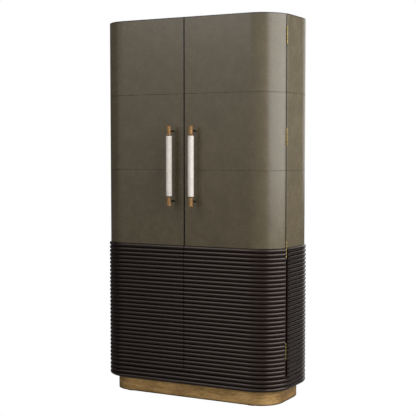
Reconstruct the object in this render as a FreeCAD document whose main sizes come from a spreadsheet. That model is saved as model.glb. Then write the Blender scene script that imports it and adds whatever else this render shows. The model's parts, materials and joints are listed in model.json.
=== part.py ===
"""Bar armoire: a tall leather and ribbed cabinet with two doors that wrap round its front corners.

Millimetres, +Z up, front towards -Y.  The origin lies on the floor, under the middle of the whole
object's bounding box.
"""

import FreeCAD
import Part
import Sketcher
import math
import os
import re

# Driving dimensions: lengths in millimetres, angles in degrees, counts as whole numbers.
SIZES = {
    # Body, measured over the leather
    "overall_height": 2134,
    "body_width": 1129.2,
    "body_depth": 500.7,
    "front_radius": 169.4,
    "rear_radius": 242,
    "rear_turn": 45,
    "panel_thickness": 22,
    "leather_thickness": 3,
    "row_count": 3,
    "seam_gap": 1.2,
    # Doors: gap_angle is how far each door wraps round its front corner
    "gap_angle": 76.5,
    "side_gap": 4,
    "centre_gap": 4,
    "foot_gap": 2.5,
    # Horizontal ribs
    "rib_pitch": 22.96,
    "rail_rib_count": 3,
    "door_rib_count": 31,
    "rib_rise": 8.8,
    "rib_root": 1,
    "rib_setback": 9,
    "cut_overrun": 3,
    # Plinth
    "plinth_height": 87,
    "plinth_inset": 41,
    "plinth_rear_inset": 23,
    "plinth_front_radius": 134,
    "plinth_wall": 40,
    "skirt_thickness": 1.5,
    "skirt_lift": 3,
    "glide_height": 5,
    "glide_width": 30,
    # Boards and shelves
    "board_thickness": 22,
    "seat_clearance": 0.3,
    "top_drop": 2.5,
    "top_setback": 4,
    "counter_height": 914,
    "counter_setback": 20,
    "shelf_setback": 35,
    "display_height": 327.5,
    "lower_shelf_height": 540,
    "partition_thickness": 18,
    "partition_offset": 280,
    "glass_thickness": 8,
    "glass_setback": 85,
    "glass_count": 2,
    "mirror_thickness": 4,
    "mirror_margin": 6,
    "cleat_width": 12,
    "cleat_height": 15,
    # Bottle rack and stemware rails
    "rack_board": 17,
    "rack_margin": 63,
    "rack_depth": 330,
    "rail_count": 5,
    "rail_spacing": 105,
    "rail_length": 330,
    "stem_width": 10,
    "stem_height": 18,
    "flange_width": 62,
    "flange_thickness": 6,
    # Magnetic catches
    "catch_offset": 40,
    "catch_width": 46,
    "catch_height": 16,
    "catch_depth": 24,
    "strike_thickness": 1.5,
    "catch_gap": 0.3,
    # Pull handles
    "handle_offset": 68.9,
    "handle_standoff": 48.8,
    "handle_low": 1093,
    "grip_length": 333.8,
    "grip_radius": 16.2,
    "grip_ease": 2,
    "end_length": 54.2,
    "end_radius": 12.3,
    "end_ease": 3,
    "neck_length": 4.6,
    "neck_radius": 9,
    "post_inset": 27,
    "post_radius": 4.75,
    "post_clearance": 0.1,
    # Butt hinges
    "hinge_foot": 96.6,
    "hinge_head": 66.9,
    "hinge_second_share": 0.3238,
    "hinge_third_share": 0.6814,
    "hinge_height": 95,
    "hinge_proud": 3,
    "barrel_radius": 3,
    "pin_radius": 1.5,
    "pin_clearance": 0.05,
    "knuckle_gap": 0.3,
    "leaf_gap": 1,
    "leaf_depth": 20,
    # Wall-tie holes in the back
    "tie_spacing": 406,
    "tie_drop": 134,
    "tie_radius": 3.25,
}

# Sizes worked out from the driving dimensions.
WORKED = {
    "shell": "leather_thickness + panel_thickness",
    "handle_reach": "handle_standoff + grip_radius",
    "front_y": "(handle_reach - body_depth - rib_rise * sin(rear_turn)) / 2",
    "corner_x": "body_width / 2 - front_radius",
    "corner_y": "front_y + front_radius",
    "rear_x": "body_width / 2 - rear_radius",
    "rear_y": "front_y + body_depth - rear_radius * sin(rear_turn)",
    "back_outer_y": "rear_y + (rear_radius - leather_thickness) * sin(rear_turn)",
    "back_inner_y": "rear_y + (rear_radius - shell) * sin(rear_turn)",
    "inner_x": "body_width / 2 - shell",
    "door_inner_y": "front_y + shell",
    "rail_top": "plinth_height + rail_rib_count * rib_pitch",
    "door_low": "rail_top + foot_gap",
    "leather_low": "door_low + door_rib_count * rib_pitch",
    "row_height": "(overall_height - leather_low) / row_count",
    "floor_top": "plinth_height + board_thickness",
    "top_under": "overall_height - top_drop - board_thickness",
    "counter_under": "counter_height - board_thickness",
    "upper_shelf_height": "top_under - display_height - board_thickness",
    "glass_spacing": "(upper_shelf_height - counter_height) / (glass_count + 1)",
    "glass_height": "counter_height + glass_spacing",
    "mirror_y": "back_inner_y - mirror_thickness",
    "handle_y": "front_y - handle_standoff",
    "hinge_x": "corner_x + (front_radius + hinge_proud) * sin(gap_angle)",
    "hinge_y": "corner_y - (front_radius + hinge_proud) * cos(gap_angle)",
    "hinge_low": "door_low + hinge_foot",
    "hinge_run": "overall_height - hinge_head - hinge_height - hinge_low",
    "knuckle_height": "(hinge_height - 2 * knuckle_gap) / 3",
    "leaf_face": "side_gap / 2",
    "leaf_back": "leaf_gap / 2",
    "leaf_top": "barrel_radius + knuckle_gap",
    "turn": "gap_angle * 1 deg",
    "rack_space": "inner_x - partition_thickness / 2",
    "rack_x": "inner_x - rack_space / 2",
}

LEFT = 1
RIGHT = -1
NAME_PATTERN = re.compile(r"[a-z][a-z_]+")

doc = FreeCAD.newDocument("BarArmoire")
sizes = doc.addObject("Spreadsheet::Sheet", "Sizes")
worked = doc.addObject("Spreadsheet::Sheet", "Worked")
subparts = []


def bound(formula):
    """Give a formula's size names the sheet that each one is kept in."""

    def with_sheet(match):
        name = match.group(0)
        if name in SIZES:
            return "Sizes." + name
        if name in WORKED:
            return "Worked." + name
        return name

    return NAME_PATTERN.sub(with_sheet, str(formula))


def value(formula):
    """Work out a formula's present value."""
    result = worked.evalExpression(bound(formula))
    return getattr(result, "Value", result)


def fill_sheets():
    """Write the driving dimensions and the worked sizes into their sheets."""
    for row, (name, number) in enumerate(SIZES.items(), 1):
        sizes.set(f"A{row}", name)
        sizes.set(f"B{row}", str(number))
        sizes.setAlias(f"B{row}", name)
    doc.recompute()
    for row, (name, formula) in enumerate(WORKED.items(), 1):
        worked.set(f"A{row}", name)
        worked.setAlias(f"B{row}", name)
        worked.set(f"B{row}", "=" + bound(formula))
        doc.recompute()


def keep(item, label):
    """Label an object and list it as a sub-part."""
    item.Label = label
    subparts.append(item)
    return item


def drive(item, **formulas):
    """Bind an object's properties to formulas; double underscores stand for dots."""
    for name, formula in formulas.items():
        item.setExpression(name.replace("__", "."), bound(formula))
    return item


def place(item, x="0", y="0", z="0"):
    """Bind an object's position."""
    return drive(item, Placement__Base__x=x, Placement__Base__y=y, Placement__Base__z=z)


def new_body(name):
    """Start a body that may hold several solids."""
    body = doc.addObject("PartDesign::Body", name)
    body.AllowCompound = True
    return body


def origin_part(body, role):
    """Find one of a body's own origin planes or axes."""
    return next(item for item in body.Origin.OriginFeatures if item.Role == role)


def sketch_on(body, name, plane, offset=("0", "0", "0")):
    """Start a sketch on an origin plane, moved by an offset in that plane's own axes."""
    sketch = body.newObject("Sketcher::SketchObject", name)
    sketch.AttachmentSupport = [(origin_part(body, plane), "")]
    sketch.MapMode = "FlatFace"
    x, y, z = offset
    return drive(
        sketch,
        AttachmentOffset__Base__x=x,
        AttachmentOffset__Base__y=y,
        AttachmentOffset__Base__z=z,
    )


def arc_between(start, end, radius, side):
    """Arc of less than a half circle, turning to the given side on its way from start to end."""
    chord = end - start
    middle = (start + end) * 0.5
    leftwards = FreeCAD.Vector(-chord.y, chord.x, 0).normalize()
    rise = math.sqrt(max(radius**2 - chord.Length**2 / 4, 0))
    centre = middle + leftwards * (side * rise)
    through = centre - leftwards * (side * radius)
    return Part.Arc(start, through, end)


def draw_outline(sketch, points):
    """Draw a closed outline and bind it.

    Each point is (x, y), or (x, y, radius, side) where the edge that leaves it is an arc.
    """
    corners = [FreeCAD.Vector(value(point[0]), value(point[1]), 0) for point in points]
    first = sketch.GeometryCount
    ends = []
    for index, point in enumerate(points):
        start = corners[index]
        end = corners[(index + 1) % len(points)]
        if len(point) == 2:
            edge = sketch.addGeometry(Part.LineSegment(start, end), False)
            ends.append((1, 2))
            continue
        edge = sketch.addGeometry(arc_between(start, end, value(point[2]), point[3]), False)
        ends.append((1, 2) if point[3] == LEFT else (2, 1))
    for index, point in enumerate(points):
        edge = first + index
        following = (index + 1) % len(points)
        joint = (edge, ends[index][1], first + following, ends[following][0])
        sketch.addConstraint(Sketcher.Constraint("Coincident", *joint))
        for kind, place_on_axis, formula in (
            ("DistanceX", corners[index].x, point[0]),
            ("DistanceY", corners[index].y, point[1]),
        ):
            spot = (-1, 1, edge, ends[index][0], place_on_axis)
            number = sketch.addConstraint(Sketcher.Constraint(kind, *spot))
            sketch.setExpression(f"Constraints[{number}]", bound(formula))
        if len(point) > 2:
            number = sketch.addConstraint(Sketcher.Constraint("Radius", edge, value(point[2])))
            sketch.setExpression(f"Constraints[{number}]", bound(point[2]))
    return sketch


def draw_circle(sketch, radius):
    """Draw a circle about the sketch's origin and bind its radius."""
    circle = Part.Circle(FreeCAD.Vector(), FreeCAD.Vector(0, 0, 1), value(radius))
    edge = sketch.addGeometry(circle, False)
    sketch.addConstraint(Sketcher.Constraint("Coincident", edge, 3, -1, 1))
    number = sketch.addConstraint(Sketcher.Constraint("Radius", edge, value(radius)))
    sketch.setExpression(f"Constraints[{number}]", bound(radius))
    return sketch


def rectangle(x_low, x_high, y_low, y_high):
    """Corners of a rectangle between the given places."""
    return [(x_low, y_low), (x_high, y_low), (x_high, y_high), (x_low, y_high)]


def pad(body, name, sketch, length):
    """Extrude a sketch along its normal."""
    feature = body.newObject("PartDesign::Pad", name)
    feature.Profile = sketch
    return drive(feature, Length=length)


def pocket(body, name, sketch, length, forwards=False):
    """Cut a sketch into a body, against its normal or along it."""
    feature = body.newObject("PartDesign::Pocket", name)
    feature.Profile = sketch
    feature.Reversed = forwards
    return drive(feature, Length=length)


def slab(label, points, level, height, holes=()):
    """Body of even thickness: a plan outline padded upwards from a level."""
    body = new_body(label + "_body")
    sketch = sketch_on(body, label + "_plan", "XY_Plane", ("0", "0", level))
    for outline in (points, *holes):
        draw_outline(sketch, outline)
    pad(body, label + "_pad", sketch, height)
    return body


def block(name, x, y, z, length, width, height):
    """Rectangular block from its low corner and its sizes along X, Y and Z."""
    item = doc.addObject("Part::Box", name)
    drive(item, Length=length, Width=width, Height=height)
    return place(item, x, y, z)


def mirrored(source):
    """Copy an object to the other side of the centre plane."""
    copy = doc.addObject("Part::Mirroring", source.Name + "_mirrored")
    copy.Source = source
    copy.Normal = FreeCAD.Vector(1, 0, 0)
    return copy


def grouped(name, items):
    """Group separate solids."""
    group = doc.addObject("Part::Compound", name)
    group.Links = items
    return group


def copied(name, source, axis, offsets):
    """Group an object with a copy at each offset along an axis."""
    copies = [source]
    for index, offset in enumerate(offsets, 1):
        copy = doc.addObject("App::Link", f"{name}_{index}")
        copy.LinkedObject = source
        copy.LinkTransform = True
        copy.setExpression(f"Placement.Base.{axis}", bound(offset))
        copies.append(copy)
    return grouped(name, copies)


def repeated(name, source, count, axis, step):
    """Group an object with its copies, evenly spaced along an axis."""
    return copied(name, source, axis, [f"{index} * ({step})" for index in range(1, round(value(count)))])


def hinge_row(name, source):
    """Group the lowest hinge's part with its copies at the three hinges above."""
    rises = ["hinge_run * hinge_second_share", "hinge_run * hinge_third_share", "hinge_run"]
    return copied(name, source, "z", rises)


def pair(right, name):
    """Keep a right-hand sub-part and its left-hand mirror image."""
    keep(right, "right_" + name)
    keep(mirrored(right), "left_" + name)


def gap_end(inset, side):
    """Where a layer at an inset ends beside the door gap; side -1 is the door's, 1 the cabinet's."""
    radius = f"(front_radius - ({inset}))"
    angle = f"(turn + {side} * asin(side_gap / 2 / {radius}))"
    return f"corner_x + {radius} * sin{angle}", f"corner_y - {radius} * cos{angle}"


def rear_end(inset):
    """Where a skin at an inset ends on the rear corner."""
    radius = f"(rear_radius - ({inset}))"
    return f"rear_x + {radius} * cos(rear_turn)", f"rear_y + {radius} * sin(rear_turn)"


def front_turn(inset, side):
    """An arc edge round the front corner at an inset."""
    return f"front_radius - ({inset})", side


def rear_arc(inset, side):
    """An arc edge round the rear corner at an inset."""
    return f"rear_radius - ({inset})", side


def door_band(outer, inner):
    """Plan of a door layer between two insets: straight front, then the wrapped corner."""
    edge = "centre_gap / 2"
    return [
        (edge, f"front_y + ({outer})"),
        ("corner_x", f"front_y + ({outer})", *front_turn(outer, LEFT)),
        gap_end(outer, RIGHT),
        (*gap_end(inner, RIGHT), *front_turn(inner, RIGHT)),
        ("corner_x", f"front_y + ({inner})"),
        (edge, f"front_y + ({inner})"),
    ]


def side_band(outer, inner):
    """Plan of a fixed side layer between two insets, from the door gap to the rear corner."""
    return [
        (*gap_end(outer, LEFT), *front_turn(outer, LEFT)),
        (f"body_width / 2 - ({outer})", "corner_y"),
        (f"body_width / 2 - ({outer})", "rear_y", *rear_arc(outer, LEFT)),
        rear_end(outer),
        (*rear_end(inner), *rear_arc(inner, RIGHT)),
        (f"body_width / 2 - ({inner})", "rear_y"),
        (f"body_width / 2 - ({inner})", "corner_y", *front_turn(inner, RIGHT)),
        gap_end(inner, LEFT),
    ]


def rail_band(outer, inner):
    """Plan of half the base rail between two insets, from the centre plane to the rear corner."""
    return [
        ("0", f"front_y + ({outer})"),
        ("corner_x", f"front_y + ({outer})", *front_turn(outer, LEFT)),
        *side_band(outer, inner)[1:7],
        ("corner_x", f"front_y + ({inner})"),
        ("0", f"front_y + ({inner})"),
    ]


def board_plan(front, side, radius, rear_radius_formula, rear):
    """Plan of a full-width board: rounded front corners and rear corners cut off by the back."""
    rear_x = f"rear_x + sqrt(({rear_radius_formula})^2 - ({rear} - rear_y)^2)"
    shoulder = f"{front} + {radius}"
    return [
        (f"-({side} - ({radius}))", front),
        (f"{side} - ({radius})", front, radius, LEFT),
        (side, shoulder),
        (side, "rear_y", rear_radius_formula, LEFT),
        (rear_x, rear),
        (f"-({rear_x})", rear, rear_radius_formula, LEFT),
        (f"-({side})", "rear_y"),
        (f"-({side})", shoulder, radius, LEFT),
    ]


def shelf_plan(setback, rear):
    """Plan of a board inside the shell, set back behind the doors' inner faces."""
    return board_plan(
        f"door_inner_y + {setback}",
        "(inner_x - seat_clearance)",
        "(front_radius - shell)",
        "rear_radius - shell - seat_clearance",
        rear,
    )


def half_shelf_plan(setback, start, rear):
    """Plan of a shelf on the right of an upright, from the upright's face to the side."""
    plan = shelf_plan(setback, rear)
    return [(start, plan[0][1]), *plan[1:5], (start, rear)]


def plinth_plan(inset):
    """Plan of the plinth at an inset from its outer face."""
    side = f"(body_width / 2 - plinth_inset - ({inset}))"
    front = f"(front_y + plinth_inset + ({inset}))"
    rear = f"(front_y + body_depth - plinth_rear_inset - ({inset}))"
    big = f"(plinth_front_radius - ({inset}))"
    return board_plan(front, side, big, f"rear_radius - plinth_inset - ({inset})", rear)


def rib_profile(radius, outward, count):
    """Section through a ribbed skin: one pointed ridge to each rib, on a flat back.

    Radius is the leather face's distance from the corner axis, outward the way out from it.
    """
    valley = f"{outward} * ({radius} - rib_root)"
    crest = f"{outward} * ({radius} + rib_rise)"
    back = f"{outward} * ({radius} - leather_thickness)"
    ribs = round(value(count))
    points = [(back, "0"), (valley, "0")]
    for index in range(ribs):
        points.append((crest, f"({index} + 1 / 2) * rib_pitch"))
        points.append((valley, f"({index} + 1) * rib_pitch"))
    points.append((back, f"{ribs} * rib_pitch"))
    return points if outward == RIGHT else points[::-1]


def rib_section(body, name, plane, offset, radius, outward, count):
    """Draw a ribbed skin's section beside a corner axis."""
    sketch = sketch_on(body, name, plane, offset)
    return draw_outline(sketch, rib_profile(radius, outward, count))


def run(body, name, sketch, length, backwards):
    """Run a section straight on."""
    feature = pad(body, name, sketch, length)
    feature.Reversed = backwards


def turn_round(body, name, sketch, angle, backwards=False):
    """Turn a section round the vertical axis that it was drawn beside."""
    feature = body.newObject("PartDesign::Revolution", name)
    feature.Profile = sketch
    feature.ReferenceAxis = (sketch, ["V_Axis"])
    feature.Reversed = backwards
    drive(feature, Angle=angle)


def front_ribs(body, level, count, start, angle):
    """Ribs along the front, from a distance off the centre plane, and on round the corner."""
    offset = ("corner_y", level, "corner_x")
    section = rib_section(body, "front_section", "YZ_Plane", offset, "front_radius", RIGHT, count)
    run(body, "front_run", section, f"corner_x - {start}", True)
    turn_round(body, "corner_turn", section, angle)


def rear_ribs(body, level, count):
    """Ribs along the straight side and on round the rear corner."""
    offset = ("rear_x", level, "-rear_y")
    section = rib_section(body, "side_section", "XZ_Plane", offset, "rear_radius", LEFT, count)
    run(body, "side_run", section, "rear_y - corner_y", False)
    turn_round(body, "rear_turn", section, "rear_turn")


def make_ribs():
    """Ribbed skins of the base rail, the doors and the fixed sides."""
    setback = "asin(rib_setback / front_radius)"
    rail = new_body("rail_ribs")
    front_ribs(rail, "plinth_height", "rail_rib_count", "0", "90")
    rear_ribs(rail, "plinth_height", "rail_rib_count")
    keep(joined("rail_ribs_whole", rail), "base_rail_ribs")

    door = new_body("door_ribs")
    front_ribs(door, "door_low", "door_rib_count", "centre_gap / 2", f"turn - {setback}")
    pair(door, "door_ribs")

    side = new_body("side_ribs")
    rear_ribs(side, "door_low", "door_rib_count")
    offset = ("corner_x", "door_low", "-corner_y")
    place_beside = (side, "corner_section", "XZ_Plane", offset, "front_radius", LEFT)
    section = rib_section(*place_beside, "door_rib_count")
    turn_round(side, "corner_turn", section, f"90 deg - turn - {setback}", True)
    pair(side, "side_ribs")


def joined(name, half):
    """Join a right half with its mirror image into one piece."""
    whole = doc.addObject("Part::Fuse", name)
    whole.Base = half
    whole.Tool = mirrored(half)
    whole.Refine = True
    return whole


def leather_rows(name, plan):
    """Three leather rows with a narrow seam between them."""
    for index, row in enumerate(("lower", "middle", "upper")):
        level = f"leather_low + {index} * row_height + seam_gap / 2"
        label = f"{name}_leather_{row}"
        pair(slab(label, plan, level, "row_height - seam_gap"), label)


def make_plinth():
    """Wooden plinth frame, its brass skirt and the floor glides."""
    outer = "skirt_thickness"
    ring = [plinth_plan("skirt_thickness + plinth_wall")]
    height = "plinth_height - glide_height"
    keep(slab("plinth_frame", plinth_plan(outer), "glide_height", height, ring), "plinth_frame")
    ring = [plinth_plan(outer)]
    height = "plinth_height - skirt_lift"
    keep(slab("plinth_skirt", plinth_plan("0"), "skirt_lift", height, ring), "plinth_skirt")
    middle = "skirt_thickness + plinth_wall / 2"
    corners = plinth_plan(middle)
    glides = []
    for index in (0, 1, 4, 5):
        x = f"{corners[index % 4][0]} - glide_width / 2"
        y = f"{corners[index][1]} - glide_width / 2"
        size = ("glide_width", "glide_width", "glide_height")
        glides.append(block(f"glide_{index}", x, y, "0", *size))
    keep(grouped("glides", glides), "floor_glides")


def make_shell():
    """Bottom, base rail, fixed sides, back and top."""
    skin = "leather_thickness"
    bottom = board_plan(
        f"front_y + {skin}",
        f"(body_width / 2 - {skin})",
        f"(front_radius - {skin})",
        f"rear_radius - {skin}",
        "back_outer_y",
    )
    keep(slab("bottom", bottom, "plinth_height", "board_thickness"), "bottom_panel")
    rail = slab("rail_half", rail_band(skin, "shell"), "floor_top", "rail_top - floor_top")
    keep(joined("rail", rail), "base_rail")

    plan = side_band(skin, "shell")
    pair(slab("side_panel", plan, "rail_top", "overall_height - rail_top"), "side_panel")
    leather_rows("side", side_band("0", skin))

    make_back()
    top = shelf_plan("top_setback", "back_inner_y - seat_clearance")
    keep(slab("top", top, "top_under", "board_thickness"), "top_panel")


def make_back():
    """Back panel mitred between the two sides, with two wall-tie holes near its top."""
    outer_x, outer_y = rear_end("leather_thickness")
    inner_x, inner_y = rear_end("shell")
    plan = [
        (f"-({inner_x})", inner_y),
        (inner_x, inner_y),
        (outer_x, outer_y),
        (f"-({outer_x})", outer_y),
    ]
    body = slab("back", plan, "floor_top", "top_under + board_thickness - floor_top")
    offset = ("tie_spacing / 2", "overall_height - tie_drop", "-back_inner_y")
    hole = draw_circle(sketch_on(body, "tie_circle", "XZ_Plane", offset), "tie_radius")
    cut = pocket(body, "tie_hole", hole, "shell")
    both = body.newObject("PartDesign::Mirrored", "tie_holes")
    both.Originals = [cut]
    both.MirrorPlane = (origin_part(body, "YZ_Plane"), [""])
    body.Tip = both
    keep(body, "back_panel")


def make_doors():
    """Door panels with their leather."""
    plan = door_band("leather_thickness", "shell")
    pair(slab("door_panel", plan, "door_low", "overall_height - door_low"), "door_panel")
    leather_rows("door", door_band("0", "leather_thickness"))


def turned(name, profile):
    """Piece turned about the vertical axis of its own body."""
    body = new_body(name)
    sketch = draw_outline(sketch_on(body, name + "_profile", "XZ_Plane"), profile)
    feature = body.newObject("PartDesign::Revolution", name + "_turning")
    feature.Profile = sketch
    feature.ReferenceAxis = (sketch, ["V_Axis"])
    return body


def make_handles():
    """Vertical pull on each door: a grip between two necked brass ends, held off by two posts."""
    grip = [
        ("0", "0"),
        ("grip_radius - grip_ease", "0"),
        ("grip_radius", "grip_ease"),
        ("grip_radius", "grip_length - grip_ease"),
        ("grip_radius - grip_ease", "grip_length"),
        ("0", "grip_length"),
    ]
    body = turned("grip", grip)
    pair(place(body, "handle_offset", "handle_y", "handle_low + end_length"), "handle_grip")

    end = [
        ("0", "0"),
        ("end_radius - end_ease", "0"),
        ("end_radius", "end_ease"),
        ("end_radius", "end_length - neck_length"),
        ("neck_radius", "end_length - neck_length"),
        ("neck_radius", "end_length"),
        ("0", "end_length"),
    ]
    lower = turned("handle_end", end)
    socket = sketch_on(lower, "post_socket", "XZ_Plane", ("0", "post_inset", "0"))
    draw_circle(socket, "post_radius + post_clearance")
    pocket(lower, "post_socket_cut", socket, "end_radius + cut_overrun")
    place(lower, "handle_offset", "handle_y", "handle_low")
    upper = doc.addObject("Part::Mirroring", "handle_end_upper")
    upper.Source = lower
    upper.Normal = FreeCAD.Vector(0, 0, 1)
    drive(upper, Base__z="handle_low + end_length + grip_length / 2")
    pair(grouped("handle_ends", [lower, upper]), "handle_ends")

    post = doc.addObject("Part::Cylinder", "handle_post")
    post.Placement.Rotation = FreeCAD.Rotation(FreeCAD.Vector(1, 0, 0), -90)
    drive(post, Radius="post_radius", Height="handle_standoff - post_clearance")
    place(post, "handle_offset", "handle_y + post_clearance", "handle_low + post_inset")
    step = "2 * end_length + grip_length - 2 * post_inset"
    pair(repeated("handle_posts", post, "2", "z", step), "handle_posts")


def at_hinge(item):
    """Place a hinge piece on the lowest hinge, turned to face out of the door gap."""
    item.Placement.Rotation = FreeCAD.Rotation(FreeCAD.Vector(0, 0, 1), value("gap_angle"))
    drive(item, Placement__Rotation__Angle="gap_angle")
    return place(item, "hinge_x", "hinge_y", "hinge_low")


def hinge_leaf(name, low_face, high_face, level, knuckles):
    """Hinge leaf: a plate in the door gap, tabs up to the axis, and bored knuckles."""
    body = new_body(name)
    plate = sketch_on(body, name + "_plate", "XY_Plane")
    draw_outline(plate, rectangle(low_face, high_face, "leaf_top", "hinge_proud + leaf_depth"))
    pad(body, name + "_plate_pad", plate, "hinge_height")
    tab = sketch_on(body, name + "_tab", "XY_Plane", ("0", "0", level))
    draw_outline(tab, rectangle(low_face, high_face, "0", "leaf_top"))
    tab_pad = pad(body, name + "_tab_pad", tab, "knuckle_height")
    ring = draw_circle(sketch_on(body, name + "_ring", "XY_Plane", ("0", "0", level)), "barrel_radius")
    ring_pad = pad(body, name + "_ring_pad", ring, "knuckle_height")
    if knuckles > 1:
        pattern = body.newObject("PartDesign::LinearPattern", name + "_knuckles")
        pattern.Originals = [tab_pad, ring_pad]
        pattern.Direction = (origin_part(body, "Z_Axis"), [""])
        pattern.Occurrences = knuckles
        drive(pattern, Length="hinge_height - knuckle_height")
        body.Tip = pattern
    bore = draw_circle(sketch_on(body, name + "_bore", "XY_Plane"), "pin_radius + pin_clearance")
    pocket(body, name + "_bore_cut", bore, "hinge_height", True)
    return hinge_row(name + "_row", at_hinge(body))


def make_hinges():
    """Four butt hinges in each side gap, each with a pin through its knuckles."""
    fixed = hinge_leaf("fixed_leaf", "leaf_back", "leaf_face", "0", 2)
    pair(fixed, "hinge_fixed_leaves")
    level = "knuckle_height + knuckle_gap"
    moving = hinge_leaf("door_leaf", "-leaf_face", "-leaf_back", level, 1)
    pair(moving, "hinge_door_leaves")
    pin = doc.addObject("Part::Cylinder", "hinge_pin")
    drive(pin, Radius="pin_radius", Height="hinge_height")
    place(pin, "hinge_x", "hinge_y", "hinge_low")
    pair(hinge_row("pin_row", pin), "hinge_pins")


def make_catches():
    """Magnetic catches under the top panel and the strike plates on the doors."""
    x = "catch_offset - catch_width / 2"
    z = "top_under - catch_height"
    strike = ("strike", x, "door_inner_y", z, "catch_width", "strike_thickness", "catch_height")
    pair(block(*strike), "door_strike_plate")
    y = "door_inner_y + strike_thickness + catch_gap"
    catch = block("catch", x, y, z, "catch_width", "catch_depth", "catch_height")
    keep(grouped("catches", [catch, mirrored(catch)]), "door_catches")


def make_lower_bay():
    """Counter, centre upright, lower shelves, their cleats and the bottle rack."""
    rear = "back_inner_y - seat_clearance"
    counter = shelf_plan("counter_setback", rear)
    keep(slab("counter", counter, "counter_under", "board_thickness"), "counter")
    front = "door_inner_y + shelf_setback"
    depth = f"back_inner_y - ({front})"
    half = "partition_thickness / 2"
    height = "counter_under - floor_top"
    upright = ("upright", f"-{half}", front, "floor_top", "partition_thickness", depth, height)
    keep(block(*upright), "lower_partition")
    plan = half_shelf_plan("shelf_setback", f"{half} + seat_clearance", rear)
    shelf = slab("lower_shelf", plan, "lower_shelf_height", "board_thickness")
    keep(grouped("lower_shelf_pair", [shelf, mirrored(shelf)]), "lower_shelves")

    side = ("inner_x - cleat_width", "corner_y")
    bar = ("cleat_width", "rear_y - corner_y", "cleat_height")
    shelf_level = "lower_shelf_height - cleat_height"
    cleats = [
        block("shelf_side_cleat", *side, shelf_level, *bar),
        block("counter_side_cleat", *side, "counter_under - cleat_height", *bar),
        block("shelf_inner_cleat", half, front, shelf_level, "cleat_width", depth, "cleat_height"),
    ]
    cleats += [mirrored(cleat) for cleat in cleats]
    keep(grouped("lower_cleats", cleats), "lower_shelf_cleats")
    make_bottle_rack()


def make_bottle_rack():
    """Two boards halved together into an X, under the right-hand lower shelf."""
    height = "lower_shelf_height - floor_top - seat_clearance"
    span = "(rack_space / 2 - rack_margin)"
    board = [
        (f"-{span}", "0"),
        (f"rack_board - {span}", "0"),
        (span, height),
        (f"{span} - rack_board", height),
    ]
    other = [(f"-({x})", y) for x, y in reversed(board)]
    body = new_body("rack_board_body")
    offset = ("0", "0", "-rack_depth / 2")
    sketch = draw_outline(sketch_on(body, "rack_board_profile", "XZ_Plane", offset), board)
    pad(body, "rack_board_pad", sketch, "rack_depth")
    notch = draw_outline(sketch_on(body, "rack_notch_profile", "XZ_Plane"), other)
    pocket(body, "rack_notch", notch, "rack_depth / 2")
    depth_middle = "back_inner_y - seat_clearance - rack_depth / 2"
    place(body, "rack_x", depth_middle, "floor_top")
    turned_board = doc.addObject("App::Link", "rack_board_turned")
    turned_board.LinkedObject = body
    turned_board.Placement.Rotation = FreeCAD.Rotation(FreeCAD.Vector(0, 0, 1), 180)
    place(turned_board, "rack_x", depth_middle, "floor_top")
    keep(grouped("rack", [body, turned_board]), "bottle_rack")


def make_upper_bay():
    """Mirror, uprights, glass shelves with cleats, upper shelf and stemware rails."""
    half_width = "(rear_x + (rear_radius - shell) * cos(rear_turn) - mirror_margin)"
    height = "upper_shelf_height - counter_height"
    mirror = (f"-{half_width}", "mirror_y", "counter_height", f"2 * {half_width}")
    keep(block("mirror", *mirror, "mirror_thickness", height), "mirror")
    front = "door_inner_y + shelf_setback"
    depth = f"mirror_y - ({front})"
    half = "partition_thickness / 2"
    upright = ("side_upright", f"partition_offset - {half}", front, "counter_height")
    right = block(*upright, "partition_thickness", depth, height)
    keep(grouped("uprights", [right, mirrored(right)]), "upper_partitions")
    plan = shelf_plan("shelf_setback", "back_inner_y - seat_clearance")
    keep(slab("upper_shelf", plan, "upper_shelf_height", "board_thickness"), "upper_shelf")

    face = f"partition_offset + {half}"
    rear = "mirror_y - seat_clearance"
    plan = half_shelf_plan("glass_setback", f"{face} + seat_clearance", rear)
    glass = slab("glass", plan, "glass_height", "glass_thickness")
    column = repeated("glass_column", glass, "glass_count", "z", "glass_spacing")
    keep(grouped("glass_pair", [column, mirrored(column)]), "glass_shelves")

    level = "glass_height - cleat_height"
    glass_front = "door_inner_y + glass_setback"
    inner = (face, glass_front, level, "cleat_width", f"mirror_y - ({glass_front})", "cleat_height")
    side = ("inner_x - cleat_width", "corner_y", level, "cleat_width", "rear_y - corner_y")
    rows = [
        repeated("inner_cleats", block("inner_cleat", *inner), "glass_count", "z", "glass_spacing"),
        repeated(
            "side_cleats",
            block("side_cleat", *side, "cleat_height"),
            "glass_count",
            "z",
            "glass_spacing",
        ),
    ]
    rows += [mirrored(row) for row in rows]
    keep(grouped("upper_cleats", rows), "glass_shelf_cleats")
    make_stemware_rails()


def make_stemware_rails():
    """T-shaped rails under the upper shelf, spaced to hang glasses by their feet."""
    stem = "stem_width / 2"
    flange = "flange_width / 2"
    low = "-(stem_height + flange_thickness)"
    profile = [
        (f"-{flange}", low),
        (flange, low),
        (flange, "-stem_height"),
        (stem, "-stem_height"),
        (stem, "0"),
        (f"-{stem}", "0"),
        (f"-{stem}", "-stem_height"),
        (f"-{flange}", "-stem_height"),
    ]
    body = new_body("rail_body")
    sketch = draw_outline(sketch_on(body, "rail_profile", "XZ_Plane"), profile)
    pad(body, "rail_pad", sketch, "rail_length")
    first = "-(rail_count - 1) * rail_spacing / 2"
    place(body, first, "mirror_y - seat_clearance", "upper_shelf_height")
    keep(repeated("rails", body, "rail_count", "x", "rail_spacing"), "stemware_rails")


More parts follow.
